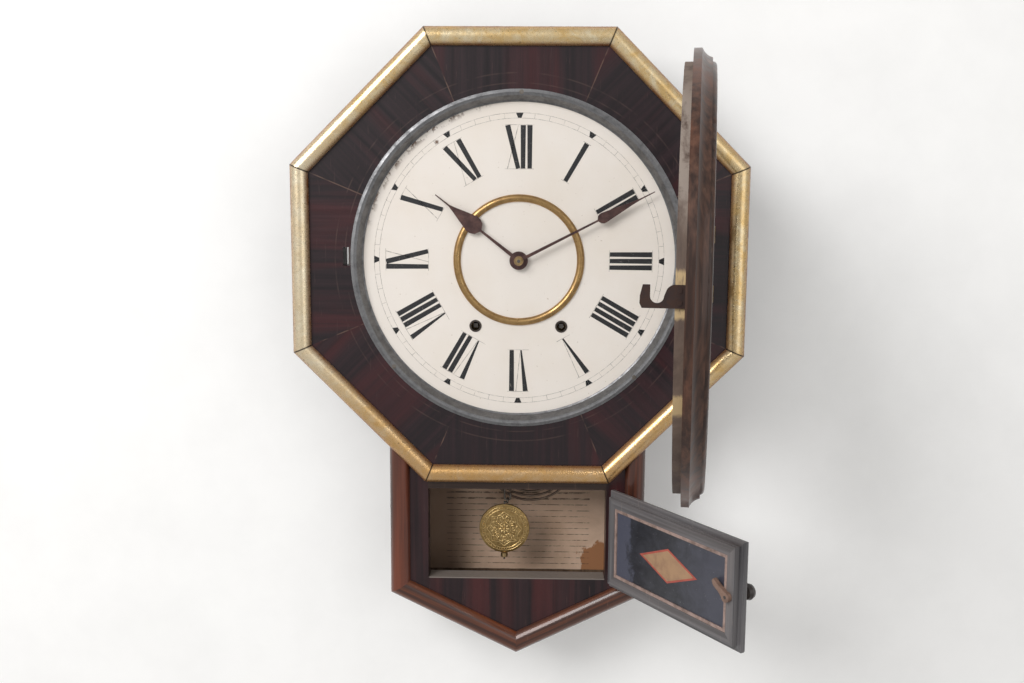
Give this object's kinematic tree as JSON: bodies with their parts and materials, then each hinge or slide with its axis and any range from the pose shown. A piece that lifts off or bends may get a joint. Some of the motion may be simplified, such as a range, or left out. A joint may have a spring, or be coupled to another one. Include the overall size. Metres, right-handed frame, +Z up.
{
  "type": "octagonal wall clock",
  "caption": "Octagonal drop-dial wall clock with a round glazed dial door and a painted-glass lower door, both hinged open, with pendulum, coiled gong and brass movement.",
  "frame": {"origin": "on the back face that rests on the wall, behind the centre of the dial", "axes": "X to the right as the clock is read, Y into the wall, Z up"},
  "size_m": [0.4416, 0.475, 0.6218],
  "materials": {
    "case_boards": "dark stained, worn",
    "backboard": "bare, aged",
    "rosewood_veneer": "polished, crazed",
    "gilding": "gold leaf, rubbed",
    "drop_wood": "polished",
    "drop_moulding_wood": "glossy",
    "dial_paint": "satin",
    "pewter": "dull",
    "screws": "dull",
    "brass": "aged",
    "bob_brass": "polished",
    "steel": "aged",
    "hinge_metal": "tarnished",
    "hand_steel": "worn",
    "spring_steel": "blued",
    "gong_wire": "blued",
    "gong_iron": "rough",
    "label_paper": "aged paper",
    "door_wood": "polished",
    "door_back_wood": "bare and stained",
    "clear_glass": "clear",
    "lower_door_wood": "worn",
    "bead_wood": "dusty",
    "painted_glass": "reverse painted",
    "knob": "dark",
    "button": "worn"
  },
  "bodies": {
    "case": {"backboard": "backboard", "case_top": "case_boards", "case_side_left": "case_boards", "case_side_right": "case_boards", "case_bottom_boards": "case_boards", "octagon_segments": "rosewood_veneer", "gilt_mouldings": "gilding", "catch_keeper": "steel", "drop_top_rail": "drop_wood", "drop_apron": "drop_wood", "drop_stile_left": "drop_wood", "drop_stile_right": "drop_wood", "drop_moulding_left": "drop_moulding_wood", "drop_moulding_right": "drop_moulding_wood", "drop_moulding_lower_left": "drop_moulding_wood", "drop_moulding_lower_right": "drop_moulding_wood", "dial_plate": "dial_paint", "dial_surround": "pewter", "surround_screws": "screws", "dial_ring": "brass", "movement_back_plate": "brass", "movement_front_plate": "brass", "movement_pillars": "brass", "movement_feet": "steel", "suspension_post": "brass", "mainsprings": "spring_steel", "gong_bracket": "gong_iron", "gong_coil": "gong_wire", "hanger_plate": "steel", "hanger_screws": "screws", "paper_label": "label_paper", "dial_hinge_brackets": "hinge_metal", "lower_hinge_plates": "hinge_metal"},
    "dial_door": {"dial_door_ring": "door_wood", "dial_door_back_ring": "door_back_wood", "dial_glass": "clear_glass", "catch_hook": "steel", "catch_screws": "screws", "dial_hinge_straps": "hinge_metal"},
    "lower_door": {"lower_door_frame": "lower_door_wood", "tablet_glass": "painted_glass", "tablet_beads": "bead_wood", "lower_hinge_leaves": "hinge_metal"},
    "latch": {"latch_knob": "knob", "turn_button": "button"},
    "minute_hand": {"centre_arbor": "steel", "minute_hand": "hand_steel", "hand_nut": "brass"},
    "hour_hand": {"hour_pipe": "brass", "hour_hand": "hand_steel"},
    "minute_wheel": {"minute_wheel": "brass"},
    "escape_wheel": {"escape_wheel": "brass"},
    "verge": {"verge": "steel"},
    "pendulum": {"pendulum_rod": "steel", "bob_wire": "steel", "pendulum_bob": "bob_brass", "rating_nut": "brass"},
    "strike_hammer": {"strike_hammer": "steel"},
    "winding_left": {"winding_arbor_left": "brass"},
    "winding_right": {"winding_arbor_right": "brass"}
  },
  "joints": [
    {"name": "dial_door_hinge", "type": "hinge", "parent": "case", "child": "dial_door", "pos_m": [0.1822, -0.1234, 0], "axis": [0, 0, 1], "range_deg": [-81.5, 88.5]},
    {"name": "lower_door_hinge", "type": "hinge", "parent": "case", "child": "lower_door", "pos_m": [0.0964, -0.095, -0.276], "axis": [0, 0, 1], "range_deg": [-123, 37]},
    {"name": "latch_turn", "type": "hinge", "parent": "lower_door", "child": "latch", "pos_m": [0.18469, -0.25098, -0.277], "axis": [-0.8387, -0.5446, 0], "range_deg": [-145, 35]},
    {"name": "minute_hand_turn", "type": "hinge", "parent": "case", "child": "minute_hand", "pos_m": [0, -0.06, 0], "axis": [0, 1, 0], "continuous": true},
    {"name": "hour_hand_turn", "type": "hinge", "parent": "case", "child": "hour_hand", "pos_m": [0, -0.06, 0], "axis": [0, 1, 0], "continuous": true},
    {"name": "minute_wheel_turn", "type": "hinge", "parent": "case", "child": "minute_wheel", "pos_m": [0.0192, -0.055, 0], "axis": [0, 1, 0], "continuous": true},
    {"name": "escape_wheel_turn", "type": "hinge", "parent": "case", "child": "escape_wheel", "pos_m": [-0.0134, -0.04, -0.018], "axis": [0, 1, 0], "continuous": true},
    {"name": "pendulum_swing", "type": "hinge", "parent": "case", "child": "pendulum", "pos_m": [-0.0134, -0.055, 0.022], "axis": [0, 1, 0], "range_deg": [-4, 4]},
    {"name": "verge_rock", "type": "hinge", "parent": "case", "child": "verge", "pos_m": [-0.0134, -0.052, 0.006], "axis": [0, 1, 0], "range_deg": [-5.8, 5.8]},
    {"name": "hammer_swing", "type": "hinge", "parent": "case", "child": "strike_hammer", "pos_m": [0.052, -0.035, -0.099], "axis": [0, -1, 0], "range_deg": [0, 14]},
    {"name": "winding_left_turn", "type": "hinge", "parent": "case", "child": "winding_left", "pos_m": [-0.0423, -0.05, -0.065], "axis": [0, 1, 0], "continuous": true},
    {"name": "winding_right_turn", "type": "hinge", "parent": "case", "child": "winding_right", "pos_m": [0.0423, -0.05, -0.065], "axis": [0, 1, 0], "continuous": true}
  ],
  "couplings": [
    {"joint": "hour_hand_turn", "follows": "minute_hand_turn", "ratio": 0.083333},
    {"joint": "minute_wheel_turn", "follows": "minute_hand_turn", "ratio": -0.33333},
    {"joint": "verge_rock", "follows": "pendulum_swing", "ratio": 1.4444}
  ]
}
